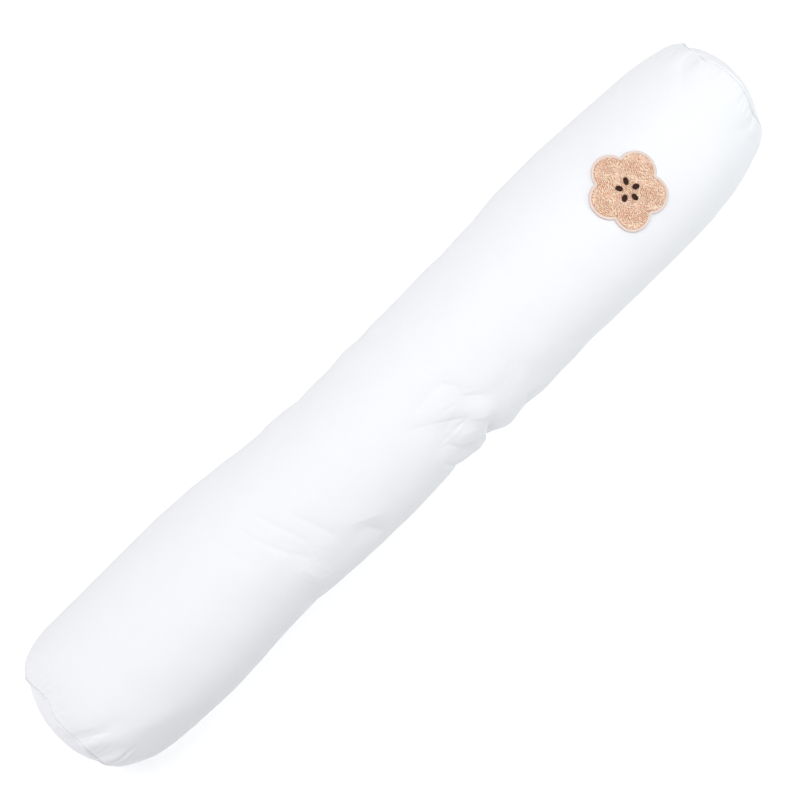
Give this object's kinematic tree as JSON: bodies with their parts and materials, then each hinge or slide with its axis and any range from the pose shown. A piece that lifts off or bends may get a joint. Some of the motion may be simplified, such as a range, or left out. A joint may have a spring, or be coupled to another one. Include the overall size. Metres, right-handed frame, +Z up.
{
  "type": "baby bolster pillow",
  "caption": "Long filled cotton bolster with round sewn end panels, a drawn-in waist and a small flower patch of looped pile near one end.",
  "frame": {"origin": "on the floor under the middle of the whole part", "axes": "+X along the bolster towards the end with the patch, +Z up; the pinched front is -Y"},
  "size_m": [0.7456, 0.142, 0.125],
  "materials": {
    "white_cotton": "matte plain-weave cotton",
    "tan_pile": "short looped pile",
    "peach_thread": "satin-stitched thread with a soft sheen",
    "brown_thread": "satin-stitched thread"
  },
  "bodies": {
    "root": {"bolster_body": "white_cotton", "end_panel_left": "white_cotton", "end_panel_right": "white_cotton", "patch_pile": "tan_pile", "patch_border": "peach_thread", "patch_seed_1": "brown_thread", "patch_seed_2": "brown_thread", "patch_seed_3": "brown_thread", "patch_seed_4": "brown_thread", "patch_seed_5": "brown_thread"}
  },
  "joints": []
}
